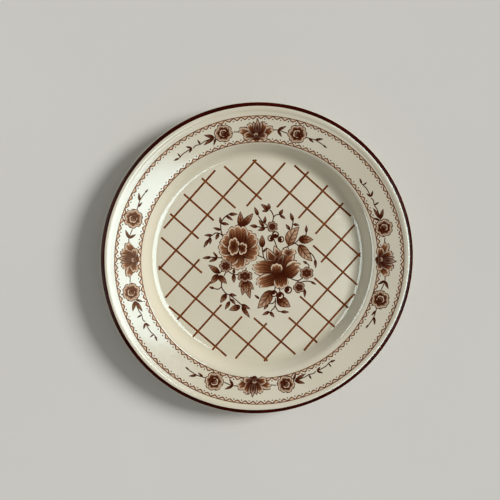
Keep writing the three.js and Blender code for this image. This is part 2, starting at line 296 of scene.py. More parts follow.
class Drawing:
    """Patches of ink laid out in millimetres; each point carries the marks that the ink's shader reads.

    reach runs from a shape's heart or stalk to its far end, across from one side to the other, rim is
    the distance in from the drawn edge in millimetres, tone darkens or pales, leafy is one for leaves.
    A patch of a higher level lies over those of lower levels. Sizes and bends are in millimetres.
    """

    MARKS = ("reach", "across", "rim", "tone", "leafy")

    def __init__(self, shift=(0.0, 0.0), turn=0.0):
        self.shift = np.array(shift)
        self.turn = turn
        self.points = []
        self.levels = []
        self.faces = []
        self.marks = {name: [] for name in self.MARKS}

    def grid(self, points, level, reach=0.3, across=0.0, rim=0.0, tone=0.0, leafy=0.0):
        """A sheet of rows by columns; points has the shape (rows, columns, 2).

        The reach that it has unless told otherwise gives a plain dark ink, as for stems.
        """
        rows, columns = points.shape[:2]
        start = sum(len(p) for p in self.points)
        self.points.append(points.reshape(-1, 2))
        self.levels.append(np.full(rows * columns, float(level)))
        for name, value in zip(self.MARKS, (reach, across, rim, tone, leafy)):
            self.marks[name].append(np.broadcast_to(value, (rows, columns)).ravel())
        for row in range(rows - 1):
            for column in range(columns - 1):
                a = start + row * columns + column
                self.faces.append((a, a + columns, a + columns + 1, a + 1))

    def petal(
        self, base, tip, width, lobes, level, tone=0.0, waist=0.3, notch=0.12, bend=0.0, shoulder=0.3
    ):
        """Broad petal with a rounded and lobed far edge.

        waist is its width at the base as a share of its full width. notch and shoulder are the shares
        of its length by which the far edge draws back between lobes and at the sides. bend sways its
        middle to the left of the way from base to tip.
        """
        base = np.array(base, float)
        tip = np.array(tip, float)
        way = tip - base
        length = np.hypot(*way)
        way = way / length
        side = np.array([-way[1], way[0]])
        across = np.linspace(-1, 1, LOBE_COLUMNS * lobes + 1)
        reach = REACH_ROWS
        lobe = np.abs(np.sin(lobes * pi * (across + 1) / 2)) ** LOBE_POWER
        edge = length * (1 - notch + notch * lobe) * (1 - shoulder * np.abs(across) ** 2.5)
        half = width / 2 * (waist + (1 - waist) * np.sin(reach * pi / 2))
        along = reach * edge
        beside = half * across + bend * 4 * reach * (1 - reach)
        points = base + along[..., None] * way + beside[..., None] * side
        to_side = (1 - np.abs(across)) * half + SIDE_FADE * width * (1 - reach)
        rim = np.minimum((1 - reach) * edge, to_side)
        self.grid(points, level, reach, across, rim, tone)

    def flower(
        self, centre, radius, lobes, level, tone=0.0, turn=0.0, squash=1.0, tilt=0.0, depth=0.16
    ):
        """Round flower or cup seen from the front.

        depth is the share of the radius by which the rim draws back between lobes. squash flattens the
        shape along one axis, and tilt turns that axis.
        """
        share = np.linspace(0, 1, LOBE_COLUMNS * max(lobes, 3) + 1)
        across = 2 * ((share * lobes) % 1) - 1
        lobe = np.abs(np.cos(pi * across / 2)) ** LOBE_POWER
        reach = REACH_ROWS
        edge = radius * (1 - depth + depth * lobe)
        angle = 2 * pi * share + radians(turn)
        x, y = spun(reach * edge * np.cos(angle), reach * edge * np.sin(angle) * squash, tilt)
        points = np.stack([centre[0] + x, centre[1] + y], 2)
        self.grid(points, level, reach, across, (1 - reach) * edge, tone)

    def leaf(self, base, tip, width, level, bend=0.0, tone=0.0, leafy=1.0):
        """Pointed leaf, or with leafy at nought a pointed petal, broadest a little below its middle."""
        base = np.array(base, float)
        tip = np.array(tip, float)
        along = np.linspace(0, 1, 12)[:, None]
        across = np.linspace(-1, 1, 9)
        way = tip - base
        side = np.array([-way[1], way[0]]) / np.hypot(*way)
        half = width / 2 * np.sin(pi * along**LEAF_BELLY) ** 0.9
        offset = half * across + bend * 4 * along * (1 - along)
        points = base + along[..., None] * way + offset[..., None] * side
        self.grid(points, level, along, across, (1 - np.abs(across)) * half, tone, leafy)

    def stem(self, points, width, level=0, steps=6):
        """Ribbon of even width along a smooth line through the points, with steps from one to the next."""
        line = smooth_line(points, steps)
        way = np.gradient(line, axis=0)
        side = np.stack([-way[:, 1], way[:, 0]], 1) / np.hypot(*way.T)[:, None]
        across = np.array([-1.0, 1.0])
        ribbon = line[:, None, :] + across[None, :, None] * side[:, None, :] * width / 2
        self.grid(ribbon, level, leafy=1.0)

    def berry(self, centre, radius, shine, level):
        """Round dark berry with a pale crescent half way out, on the side that shine points to."""
        self.flower(centre, radius, 1, level=level, tone=-1.5, depth=0.0)
        sweep = np.linspace(-80, 80, 11)
        angles = np.radians(sweep + shine)
        half_width = 0.2 * radius * np.cos(np.radians(sweep)) ** 0.6
        radii = 0.5 * radius + half_width * np.array([[-1.0], [1.0]])
        points = np.stack([centre[0] + radii * np.cos(angles), centre[1] + radii * np.sin(angles)], 2)
        self.grid(points, level + 2, reach=1.0, rim=1.3, tone=1.2)

    def piece(self, name, node, slot, material):
        """The finished print: turned, shifted, lifted on to the glaze and with every face turned up."""
        x, y = np.vstack(self.points).T
        points = np.column_stack(spun(x, y, self.turn)) + self.shift
        faces = np.array(self.faces)
        corners = points[faces]
        first = corners[:, 2] - corners[:, 0]
        second = corners[:, 3] - corners[:, 1]
        face_down = first[:, 0] * second[:, 1] < first[:, 1] * second[:, 0]
        faces[face_down] = faces[face_down, ::-1]
        places, normals = lifted(points, INK_LIFT + LEVEL_STEP * np.concatenate(self.levels))
        piece = new_piece(name, places, faces.tolist(), smooth_below=180)
        piece.data.normals_split_custom_set_from_vertices(normals)
        for mark, values in self.marks.items():
            layer = piece.data.attributes.new(mark, "FLOAT", "POINT")
            layer.data.foreach_set("value", np.concatenate(values).astype(np.float32))
        settle(piece, node, material)


def smooth_line(points, steps):
    """Catmull-Rom line through the points, with steps from each to the next."""
    stops = np.array(points, float)
    stops = np.vstack([2 * stops[0] - stops[1], stops, 2 * stops[-1] - stops[-2]])
    t = np.linspace(0, 1, steps, endpoint=False)[:, None]
    runs = [
        0.5 * (2 * b + (c - a) * t + (2 * a - 5 * b + 4 * c - d) * t**2 + (3 * b - a - 3 * c + d) * t**3)
        for a, b, c, d in zip(stops, stops[1:], stops[2:], stops[3:])
    ]
    return np.vstack([*runs, stops[-2:-1]])


def settle(piece, node, material):
    """A finished piece: its material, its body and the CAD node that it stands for."""
    piece.data.materials.append(material)
    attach(piece, "root")
    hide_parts(node)


# ---- materials --------------------------------------------------------------------------------------
def srgb(red, green, blue):
    """Linear colour with full alpha from the eight-bit values of a colour chart."""
    channels = [value / 255 for value in (red, green, blue)]
    linear = [v / 12.92 if v <= 0.04045 else ((v + 0.055) / 1.055) ** 2.4 for v in channels]
    return (*linear, 1.0)


class Shader:
    """Node material under construction; inputs take numbers, colours or the outputs of other nodes."""

    def __init__(self, name):
        self.material = bpy.data.materials.new(name)
        self.material.use_nodes = True
        self.tree = self.material.node_tree
        self.place = self.add("ShaderNodeTexCoord", output="Object")

    def feed(self, node, inputs):
        for key, value in inputs.items():
            if isinstance(value, bpy.types.NodeSocket):
                self.tree.links.new(value, node.inputs[key])
            else:
                node.inputs[key].default_value = value

    def add(self, kind, inputs=None, output=0, **settings):
        node = self.tree.nodes.new(kind)
        for key, value in settings.items():
            setattr(node, key, value)
        self.feed(node, inputs or {})
        return node.outputs[output]

    def math(self, operation, first, second=0.0):
        return self.add("ShaderNodeMath", {0: first, 1: second}, operation=operation)

    def rescale(self, value, from_low, from_high, to_low=0.0, to_high=1.0):
        """Value stretched between two ranges with soft ends."""
        inputs = {0: value, 1: from_low, 2: from_high, 3: to_low, 4: to_high}
        return self.add("ShaderNodeMapRange", inputs, interpolation_type="SMOOTHSTEP")

    def mix(self, share, first, second):
        """First colour where share is nought, second where it is one."""
        inputs = {0: share, 6: first, 7: second}
        return self.add("ShaderNodeMix", inputs, output=2, data_type="RGBA")

    def noise(self, scale, detail=3.0, place=None):
        """Soft cloudy value of about a half; scale is the number of clouds to the metre."""
        inputs = {"Vector": place or self.place, "Scale": scale, "Detail": detail}
        return self.add("ShaderNodeTexNoise", inputs)

    def mark(self, name):
        """One of the marks that a Drawing leaves on its points."""
        return self.add("ShaderNodeAttribute", output="Fac", attribute_name=name)

    def ramp(self, value, stops):
        """Colour read off a scale of (position, colour) stops."""
        node = self.tree.nodes.new("ShaderNodeValToRGB")
        elements = node.color_ramp.elements
        while len(elements) < len(stops):
            elements.new(0.5)
        for element, (position, colour) in zip(elements, stops):
            element.position = position
            element.color = colour
        self.tree.links.new(value, node.inputs[0])
        return node.outputs[0]

    def radius(self):
        """Distance from the plate's axis."""
        flat = self.add("ShaderNodeVectorMath", {0: self.place, 1: (1.0, 1.0, 0.0)}, operation="MULTIPLY")
        return self.add("ShaderNodeVectorMath", {0: flat}, output="Value", operation="LENGTH")

    def surface(self, colour, roughness, height, distance, **others):
        """The finished material; height times distance is how far the surface seems to rise."""
        normal = self.add("ShaderNodeBump", {"Height": height, "Distance": distance})
        inputs = {"Base Color": colour, "Roughness": roughness, "Normal": normal, **others}
        self.feed(self.tree.nodes["Principled BSDF"], inputs)
        return self.material


RIPPLE_HEIGHT = 0.02 * MM
GRAIN_HEIGHT = 0.12 * MM
FLOOR_GRAIN_HEIGHT = 0.05 * MM


def glossy_skin(shader, low=0.07, high=0.12):
    """Fired glaze: its roughness, wandering from low to high, and the faint ripple left by the kiln."""
    roughness = shader.rescale(shader.noise(90.0), 0.3, 0.7, low, high)
    ripple = shader.noise(140.0, 2.0)
    return roughness, ripple


CREAM = srgb(231, 226, 207)
DEEP_CREAM = srgb(226, 220, 199)
# Darker cream used as painted shade in the cove.
COVE_SHADE_CREAM = srgb(206, 199, 172)
IRON_SPECK = srgb(150, 128, 98)


def glaze_material():
    """Cream glaze, a little clouded, with painted shade darkening it in the cove between floor and wall, and
    rare specks.
    """
    shader = Shader("cream glaze")
    cloud = shader.rescale(shader.noise(16.0), 0.35, 0.65)
    colour = shader.mix(cloud, DEEP_CREAM, CREAM)
    radius = shader.radius()
    # Painted shade: a ring of darker cream laid over the cove, strongest a little outside the floor's edge.
    cove_shade_in = shader.rescale(radius, FLOOR_RADIUS - 3 * MM, FLOOR_RADIUS + 4 * MM)
    cove_shade_out = shader.rescale(radius, FLOOR_RADIUS + 5 * MM, FLOOR_RADIUS + 11 * MM, 1.0, 0.0)
    cove_shade = shader.math("MULTIPLY", shader.math("MULTIPLY", cove_shade_in, cove_shade_out), 0.35)
    colour = shader.mix(cove_shade, colour, COVE_SHADE_CREAM)
    cell = shader.add("ShaderNodeTexVoronoi", {"Vector": shader.place, "Scale": 90.0}, output="Distance")
    speck = shader.rescale(cell, 0.012, 0.03, 1.0, 0.0)
    rare = shader.rescale(shader.noise(40.0, 1.0), 0.58, 0.62)
    colour = shader.mix(shader.math("MULTIPLY", speck, rare), colour, IRON_SPECK)
    roughness, ripple = glossy_skin(shader)
    return shader.surface(colour, roughness, ripple, RIPPLE_HEIGHT, IOR=1.52)


CLAY_DARK = srgb(196, 182, 158)
CLAY_PALE = srgb(222, 212, 192)
CLAY_STAIN = srgb(168, 148, 120)


def clay_material():
    """Bare sandy clay, stained in patches by the shelves it has stood on."""
    shader = Shader("unglazed clay")
    grain = shader.noise(900.0, 6.0)
    colour = shader.mix(shader.rescale(grain, 0.3, 0.7), CLAY_DARK, CLAY_PALE)
    stain = shader.rescale(shader.noise(60.0), 0.52, 0.75)
    colour = shader.mix(stain, colour, CLAY_STAIN)
    return shader.surface(colour, 0.85, grain, GRAIN_HEIGHT)


MAROON = srgb(40, 4, 1)
THIN_MAROON = srgb(66, 14, 5)


def enamel_material():
    """Lip band laid on with a brush as the plate turned, so its streaks run round the lip."""
    shader = Shader("maroon band enamel")
    streak_count = shader.math("MULTIPLY", shader.radius(), 2200.0)
    streak_place = shader.add("ShaderNodeCombineXYZ", {0: streak_count, 1: 0.0, 2: 0.0})
    streak = shader.noise(1.0, 2.0, streak_place)
    patch = shader.noise(70.0)
    thin = shader.rescale(shader.math("ADD", streak, patch), 0.7, 1.3)
    colour = shader.mix(thin, MAROON, THIN_MAROON)
    roughness, ripple = glossy_skin(shader, 0.15, 0.25)
    return shader.surface(colour, roughness, ripple, RIPPLE_HEIGHT, IOR=1.12)


INK_SHINE = (1.0, 0.5, 0.28, 1.0)


def printed_surface(shader, colour):
    """Ink takes the shine of the glaze round it, but less of it and warmer."""
    roughness, ripple = glossy_skin(shader)
    return shader.surface(colour, roughness, ripple, RIPPLE_HEIGHT, IOR=1.25, **{"Specular Tint": INK_SHINE})


TINT = srgb(224, 206, 180)
DEEP_TINT = srgb(214, 190, 160)


def line_ink_material(name, dark, light):
    """Printed line: a brown that fades a little from place to place, and a pale tint where tone is one."""
    shader = Shader(name)
    worn = shader.rescale(shader.noise(220.0, 4.0), 0.35, 0.7)
    line = shader.mix(worn, dark, light)
    fill = shader.mix(shader.noise(500.0), DEEP_TINT, TINT)
    colour = shader.mix(shader.mark("tone"), line, fill)
    return printed_surface(shader, colour)


# Petals and leaves pale from the heart or stalk, at nought, to the far end, at one.
PETAL_STOPS = (
    (0.0, srgb(56, 15, 5)),
    (0.3, srgb(76, 30, 14)),
    (0.6, srgb(108, 60, 34)),
    (0.85, srgb(146, 98, 68)),
    (1.0, srgb(188, 148, 116)),
)
LEAF_STOPS = (
    (0.0, srgb(54, 14, 5)),
    (0.35, srgb(80, 34, 16)),
    (0.6, srgb(140, 92, 62)),
    (1.0, srgb(204, 168, 138)),
)
OUTLINE = srgb(72, 28, 14)
PALE_RIM = srgb(232, 212, 186)
HATCHING = srgb(58, 20, 8)
# Turns of the hatching and of the veins, in radians over half a petal's width and over a leaf.
PETAL_HATCHING = 19.0
LEAF_VEINS = 30.0
VEIN_SLANT = 7.0


def flower_ink_material():
    """Etched flower print: dark hearts, hatching along the petals, a pale rim inside a dark outline."""
    shader = Shader("flower ink")
    reach = shader.mark("reach")
    across = shader.mark("across")
    side = shader.math("ABSOLUTE", across)
    rim = shader.mark("rim")
    tone = shader.mark("tone")
    wobble = shader.math("MULTIPLY", shader.math("SUBTRACT", shader.noise(450.0, 4.0), 0.5), 0.3)
    shade = shader.math("ADD", shader.math("ADD", reach, wobble), shader.math("MULTIPLY", tone, 0.3))
    petal = etched_petal(shader, shader.ramp(shade, PETAL_STOPS), reach, across, side, rim, tone)
    leaf = veined_leaf(shader, shader.ramp(shade, LEAF_STOPS), reach, side)
    colour = shader.mix(shader.mark("leafy"), petal, leaf)
    colour = shader.mix(shader.rescale(rim, 0.45, 0.8, 1.0, 0.0), colour, OUTLINE)
    return printed_surface(shader, colour)


def etched_petal(shader, petal, reach, across, side, rim, tone):
    """Hatching that fades towards the far end, dark sides, then the pale rim, which a low tone hides."""
    stroke = shader.math("SINE", shader.math("MULTIPLY", across, PETAL_HATCHING))
    fade = shader.rescale(reach, 0.4, 0.92, 1.0, 0.0)
    petal = shader.mix(shader.math("MULTIPLY", shader.rescale(stroke, 0.0, 0.8), fade), petal, HATCHING)
    fold = shader.math("MULTIPLY", shader.rescale(side, 0.7, 1.0), shader.rescale(reach, 0.75, 1.0, 0.8, 0.0))
    petal = shader.mix(fold, petal, HATCHING)
    glow = shader.math("MULTIPLY", shader.rescale(rim, 0.6, 1.0), shader.rescale(rim, 1.3, 2.6, 1.0, 0.0))
    glow = shader.math("MULTIPLY", glow, shader.rescale(reach, 0.4, 0.85, 0.12, 1.0))
    return shader.mix(shader.math("MULTIPLY", glow, shader.rescale(tone, -1.2, 0.4)), petal, PALE_RIM)


def veined_leaf(shader, leaf, reach, side):
    """Midrib, and veins that slant from it towards the tip."""
    down = shader.math("MULTIPLY", reach, LEAF_VEINS)
    slant = shader.math("SUBTRACT", down, shader.math("MULTIPLY", side, VEIN_SLANT))
    vein = shader.math("MULTIPLY", shader.rescale(shader.math("SINE", slant), 0.2, 0.9), 0.65)
    midrib = shader.rescale(side, 0.04, 0.2, 0.9, 0.0)
    return shader.mix(shader.math("MAXIMUM", midrib, vein), leaf, HATCHING)


def floor_material():
    """Plain pale floor without any shine."""
    shader = Shader("pale floor")
    colour = shader.mix(shader.noise(3.0), srgb(222, 222, 220), srgb(232, 232, 230))
    return shader.surface(colour, 0.8, shader.noise(700.0), FLOOR_GRAIN_HEIGHT, IOR=1.0)


glaze_skin_look = glaze_material()
border_ink_look = line_ink_material("border ink", srgb(98, 48, 22), srgb(130, 76, 46))
trellis_ink_look = line_ink_material("trellis ink", srgb(104, 50, 18), srgb(132, 74, 34))
flower_ink_look = flower_ink_material()


# ---- prints -----------------------------------------------------------------------------------------
# The borders and the trellis were printed a little off the plate's middle.
BORDER_SHIFT = (1.8, -1.6)
TRELLIS_SHIFT = (2.6, -2.8)
BORDER_LINE = 0.7            # width of the line that the scallops stand on
SCALLOP_STROKE = 0.55        # half the width of the line round a scallop
SCALLOP_DOT = 0.6            # radius of the dot between two scallops
SCALLOP_COLUMNS = 14
BAND_INNER = 129.4           # radii of the lip band
BAND_OUTER = 132.5


def ring(drawing, inner, outer, columns, rows, tone, level):
    """Ring of ink between two radii, each of them one number or a value for every column."""
    angle = np.linspace(0, 2 * pi, columns)
    share = np.linspace(0, 1, rows)[:, None]
    radii = (1 - share) * np.broadcast_to(inner, columns) + share * np.broadcast_to(outer, columns)
    points = np.stack([radii * np.cos(angle), radii * np.sin(angle)], 2)
    drawing.grid(points, level, tone=tone)


def scalloped_border(name, node, line_radius, depth, scallops):
    """Line with a row of tinted scallops on the side that depth points to, and a dot in each gap."""
    drawing = Drawing(BORDER_SHIFT)
    columns = scallops * SCALLOP_COLUMNS + 1
    share = np.linspace(0, scallops, columns) % 1
    wave = line_radius + depth * (1 - np.abs(2 * share - 1)) ** 0.8
    line_edge = line_radius - BORDER_LINE / 2
    ring(drawing, line_edge, line_edge + BORDER_LINE, columns, rows=3, tone=0.0, level=6)
    ring(drawing, line_radius, wave, columns, rows=8, tone=1.0, level=0)
    ring(drawing, wave - SCALLOP_STROKE, wave + SCALLOP_STROKE, columns, rows=4, tone=0.0, level=9)
    dot_radius = line_radius + depth * 1.1
    for gap in range(scallops):
        angle = 2 * pi * gap / scallops
        centre = (dot_radius * cos(angle), dot_radius * sin(angle))
        drawing.flower(centre, SCALLOP_DOT, 1, level=3, depth=0.0)
    drawing.piece(name, node, "border_ink", border_ink_look)


def lip_band():
    """Hand-laid band whose two edges waver a little."""
    drawing = Drawing()
    columns = 721
    angle = np.linspace(0, 2 * pi, columns)
    waver = 0.08 * np.sin(5 * angle + 1) + 0.05 * np.sin(13 * angle) + 0.03 * np.sin(31 * angle + 2)
    outer = BAND_OUTER + 0.04 * np.sin(7 * angle)
    ring(drawing, BAND_INNER + waver, outer, columns, rows=9, tone=0.0, level=3)
    drawing.piece("lip_band", "rim_band", "band_enamel", enamel_material())


PITCH = 20.2                 # between the trellis bars
BAR_WIDTH = 1.7
BAR_STEP = 1.2               # a bar follows the glaze in steps of about this length
TRELLIS_TURN = 3.2
TRELLIS_REACH = 4.32         # radius of the trellis, in pitches
OUTERMOST_BAR = 4
# Where each of the middle bars stops at the bouquet, in pitches from the bar's own middle.
RISING_GAPS = {-2: (-1.63, 1.37), -1: (-2.03, 2.19), 0: (-2.47, 2.45), 1: (-2.28, 2.44), 2: (-1.80, 1.69)}
FALLING_GAPS = {-2: (-1.54, 1.43), -1: (-2.61, 2.55), 0: (-2.64, 2.30), 1: (-2.30, 2.23), 2: (-1.71, 1.25)}


def trellis():
    """Two sets of slanting bars that end on one circle and leave room for the bouquet."""
    drawing = Drawing(TRELLIS_SHIFT, TRELLIS_TURN)
    rising = np.array([cos(pi / 4), sin(pi / 4)])
    falling = np.array([rising[1], -rising[0]])
    for way, aside, gaps, level in ((rising, falling, RISING_GAPS, 0), (falling, rising, FALLING_GAPS, 3)):
        for row in range(-OUTERMOST_BAR, OUTERMOST_BAR + 1):
            reach = sqrt(TRELLIS_REACH**2 - row**2)
            spans = [(-reach, reach)]
            if row in gaps:
                spans = [(-reach, gaps[row][0]), (gaps[row][1], reach)]
            for start, stop in spans:
                stops = np.linspace(start, stop, int((stop - start) * PITCH / BAR_STEP))
                line = [(aside * row + way * place) * PITCH for place in stops]
                drawing.stem(line, BAR_WIDTH, level, steps=1)
    drawing.piece("trellis", "trellis_print", "trellis_ink", trellis_ink_look)


ROSETTE_PETALS = (18, 88, 140, 200, 262, 318)        # directions
# Cups inside one another, each off the middle, so that their pale rims show as crescents.
ROSETTE_CUPS = (
    # radius, lobes, tone, offset to the right and up; the sizes are shares of the rosette's own
    (0.58, 5, -2.0, 0.0, 0.0),
    (0.48, 5, 0.4, -0.03, 0.02),
    (0.32, 5, -2.0, 0.05, -0.04),
    (0.24, 4, 0.5, -0.04, 0.02),
    (0.12, 3, -2.0, 0.03, -0.02),
)


def rosette(drawing, centre, size):
    """Border rose: lobed outer petals round a dark throat with nested cups in it."""
    x, y = centre
    drawing.flower(centre, size * 0.85, 5, level=5, tone=-1.5)
    look = {"lobes": 2, "tone": -0.1, "shoulder": 0.16, "notch": 0.15}
    for order, turn in enumerate(ROSETTE_PETALS):
        angle = radians(turn)
        tip = (x + size * cos(angle), y + size * 0.95 * sin(angle))
        drawing.petal(centre, tip, size * 1.15, level=6 + order, **look)
    for order, (share, lobes, tone, right, up) in enumerate(ROSETTE_CUPS):
        place = (x + right * size, y + up * size)
        drawing.flower(place, share * size, lobes, level=12 + 2 * order, tone=tone, turn=24 * order)


# Widths of the stems, and what the leaves' widths are multiplied by, in the sprays and the bouquet.
SPRAY_STEM = 0.8
SPRAY_LEAF_SHARE = 0.74
BOUQUET_STEM = 0.95
BOUQUET_LEAF_SHARE = 1.08

SPRAY_STEMS = (
    [(-64, 88), (-60, 92), (-53, 96)],
    [(-52, 96), (-50, 98), (-46, 99), (-42, 101.5), (-34, 104.5)],
    [(-34, 104.5), (-28, 106.5)],
    [(-18, 108.5), (-10, 108)],
    [(12, 108.5), (19, 109), (27, 106)],
    [(40, 103), (45, 101.5), (51, 99.5), (57, 95.5)],
)
SPRAY_LEAVES = (
    # base, tip, width
    ((-64, 88), (-69, 86), 2.4),
    ((-63, 89), (-65.5, 92.5), 1.8),
    ((-53, 96), (-58.5, 97.5), 2.6),
    ((-53, 96), (-56, 92), 2.4),
    ((-46, 99), (-48.5, 103), 2.2),
    ((-34, 104.5), (-43, 106.5), 4.2),
    ((-34, 104.5), (-43.5, 98), 4.2),
    ((-33, 104), (-35, 97.5), 2.8),
    ((19, 109), (26.5, 112), 3.4),
    ((19, 109), (22.5, 103), 3.2),
    ((45, 101.5), (49.5, 97.5), 2.6),
    ((50.5, 100), (57.5, 100.5), 3),
    ((57, 95.5), (60.5, 92.5), 2),
)
SPRAY_LILY = (1.5, 105.5)
SPRAY_LILY_PETALS = (
    # tip, width, bend
    ((-14, 110.5), 8, 1.4),
    ((16, 111), 8, -1.4),
    ((-10.5, 104), 7, -0.6),
    ((11, 103.5), 6, 0.4),
    ((-6, 115.5), 6.5, 0.8),
    ((9.5, 116), 7, -1.2),
)


def spray(node, turn):
    """Rose, lily and rose with leaves between, drawn as for the top of the plate."""
    drawing = Drawing(turn=turn)
    for line in SPRAY_STEMS:
        drawing.stem(line, SPRAY_STEM)
    for order, (base, tip, width) in enumerate(SPRAY_LEAVES):
        drawing.leaf(base, tip, width * SPRAY_LEAF_SHARE, level=3 + order % 3)
    rosette(drawing, (-26.5, 107.5), 7.9)
    rosette(drawing, (35.5, 105.2), 8.3)
    drawing.flower(SPRAY_LILY, 5, 5, level=7, tone=-1.5)
    for order, (tip, width, bend) in enumerate(SPRAY_LILY_PETALS):
        drawing.petal(SPRAY_LILY, tip, width, lobes=2, level=8 + order, waist=0.6, bend=bend, tone=-0.1)
    # Three narrow petals stand up behind one small round one.
    for order, (tip, width) in enumerate((((-1.5, 117), 5), ((6.5, 117), 5), ((2.5, 119), 5.4))):
        drawing.leaf((1.5, 106), tip, width, level=15 + order, leafy=0.0, tone=-0.3)
    drawing.petal((1, 103), (0.5, 107.8), 4.6, lobes=3, level=20, tone=-0.2)
    drawing.piece(node, node, "flower_ink", flower_ink_look)


ROSE = (-16, 9)
ROSE_PETALS = (
    # direction, length, width, lobes
    (-62, 16.5, 10, 1),
    (-93, 19.5, 14, 3),
    (-132, 17.5, 15, 3),
    (178, 17.8, 15, 3),
    (140, 17.5, 14.5, 3),
    (-18, 18.8, 16, 3),
    (38, 19, 16, 3),
    (93, 20, 17.5, 3),
)


def big_rose(drawing):
    """Open rose: scalloped outer petals, then two pale-rimmed cups in the middle."""
    drawing.flower(ROSE, 15, 7, level=6, tone=-1.0)
    look = {"tone": 0.15, "notch": 0.11, "waist": 0.4, "shoulder": 0.2}
    for order, (turn, length, width, lobes) in enumerate(ROSE_PETALS):
        angle = radians(turn)
        tip = (ROSE[0] + length * cos(angle), ROSE[1] + length * sin(angle))
        drawing.petal(ROSE, tip, width, lobes, level=8 + order, **look)
    drawing.flower((-16.5, 9), 9.8, 6, level=16, tone=-1.8, squash=0.92)
    drawing.flower((-20.2, 10.3), 8.6, 6, level=18, tone=0.5, turn=80, squash=0.62, tilt=84, depth=0.2)
    drawing.flower((-12.6, 8.3), 6.2, 5, level=20, tone=0.5, turn=60, squash=0.74, tilt=80, depth=0.24)
    drawing.leaf((-14.8, 12.2), (-15.4, 5.8), 2.4, level=22, tone=-0.6)


LILY_PETALS = (
    # base, tip, width, lobes, waist, bend, notch
    ((20, -13), (28.6, 8.6), 15, 4, 0.8, 2.2, 0.16),
    ((21, -13), (37.4, -5.2), 13.5, 3, 0.45, -2.8, 0.17),
    ((20, -12), (-4.6, -7.4), 14, 4, 0.6, -2.0, 0.16),
    ((20, -15), (-1.2, -22.6), 12.5, 3, 0.5, 1.4, 0.14),
    ((20.2, -14), (21.6, -27.6), 13, 3, 0.45, 0.0, 0.14),
)


def big_lily(drawing):
    """Lily seen from the side: narrow back petals, broad front ones and, over them, curled and inner ones."""
    drawing.flower((18, -12), 9, 6, level=7, tone=-1.6)
    drawing.leaf((20, -6), (14.4, 11), 8.5, level=8, leafy=0.0, bend=-0.8, tone=0.1)
    drawing.leaf((19, -8), (8.6, 9.2), 10, level=9, leafy=0.0, bend=1.4, tone=0.1)
    for order, (base, tip, width, lobes, waist, bend, notch) in enumerate(LILY_PETALS):
        look = {"waist": waist, "bend": bend, "notch": notch, "tone": 0.2}
        drawing.petal(base, tip, width, lobes, level=10 + order, **look)
    drawing.leaf((20, -9), (24.6, 4.6), 6.5, level=15, leafy=0.0, bend=1.8, tone=-0.5)
    drawing.petal((25.6, 3.4), (34.2, 5.4), 5.4, lobes=2, level=16, tone=1.2, waist=0.8, bend=0.6)
    drawing.petal((27.6, 3.4), (20.6, 5.6), 5.4, lobes=2, level=17, tone=1.2, waist=0.8, bend=-0.6)
    drawing.petal((16.8, -14.5), (17, -4), 10.5, lobes=3, level=19, tone=0.5, waist=0.45)


BOUQUET_LEAVES = (
    # base, tip, width
    ((-14, 26), (-14.5, 40.5), 5.4),
    ((-13, 27.5), (-3.2, 38.8), 5.6),
    ((-24.5, 38), (-16.5, 38), 2.8),
    ((-27, 37), (-20.6, 32.6), 2.4),
    ((-30.9, 29.5), (-32, 36), 2.4),
    ((-31, 30.4), (-23.8, 29.2), 2.6),
    ((-31, 24.5), (-38, 26.6), 2.4),
    ((-38, 20), (-45.6, 20.2), 2.4),
    ((-33, 21.8), (-35.6, 16), 2.8),
    ((-40, 18.2), (-40.5, 12), 2.4),
    ((-41.5, 16.5), (-46, 9.4), 2.8),
    ((-34, 0.8), (-38, 6), 2),
    ((-39.5, 1.2), (-47.2, 0.4), 2.6),
    ((-34, 0.5), (-41.6, -2.8), 2.8),
    ((-20, -13.5), (-20, -8), 2.4),
    ((-20.3, -13.5), (-20, -21.5), 3.4),
    ((-32, -13), (-42, -5.2), 4.8),
    ((-33.5, -13.5), (-40, -22), 5),
    ((-33.5, -14.5), (-26, -22), 5),
    ((-37, -26), (-41.6, -24.3), 2.2),
    ((-26.5, -30.5), (-31.8, -38.6), 4.4),
    ((-24, -31), (-17.6, -32.6), 2.6),
    ((-22.8, -35), (-18.4, -40.4), 2.6),
    ((-23.5, -37), (-27.8, -44.6), 3.2),
    ((-14, -40), (-5.6, -44.4), 3.2),
    ((-14.3, -41.6), (-24.4, -45), 5.2),
    ((-13.4, -42), (-6.2, -52), 3.6),
    ((9.8, 42), (3, 46.5), 3.2),
    ((10, 41.6), (10, 47.2), 3.2),
    ((10, 41.6), (4, 40.2), 2.8),
    ((19, 37), (22.4, 42), 3),
    ((19.5, 37), (24.6, 33.6), 2.4),
    ((1, 36.5), (-2.4, 44.2), 3),
    ((6.4, 30), (7, 36.2), 2.8),
    ((6, 26.6), (1.2, 33.2), 2.8),
    ((0.5, 27), (-6.4, 28.2), 3),
    ((7, 25.6), (0.4, 23.8), 2.8),
    ((4.3, 8.8), (4.3, 20), 5),
    ((5, 5), (8.6, 9), 2),
    ((31, 31.5), (28.6, 39), 3),
    ((31, 29), (36.6, 28), 2.4),
    ((28.5, 24), (24.6, 29.2), 2.6),
    ((35.5, 16), (48.8, 15.4), 7.2),
    ((42.5, 21.5), (42.5, 28.2), 2.4),
    ((50.3, -1.5), (51, -9.6), 2.4),
    ((43.5, -5.2), (39.6, -3), 2.2),
    ((46.5, -20.9), (51.6, -23.8), 2),
    ((41.5, -27.5), (41.5, -35), 2.4),
    ((17, -35), (29.2, -43), 8.4),
    ((2, -35.5), (-2.4, -31.8), 2),
    ((9.8, -39.5), (5.8, -45), 2.8),
    ((20.5, -47), (28, -47.5), 2.6),
    ((11, -46.6), (4.4, -49.8), 2.8),
    ((11, -46.8), (15.2, -52), 2.8),
)
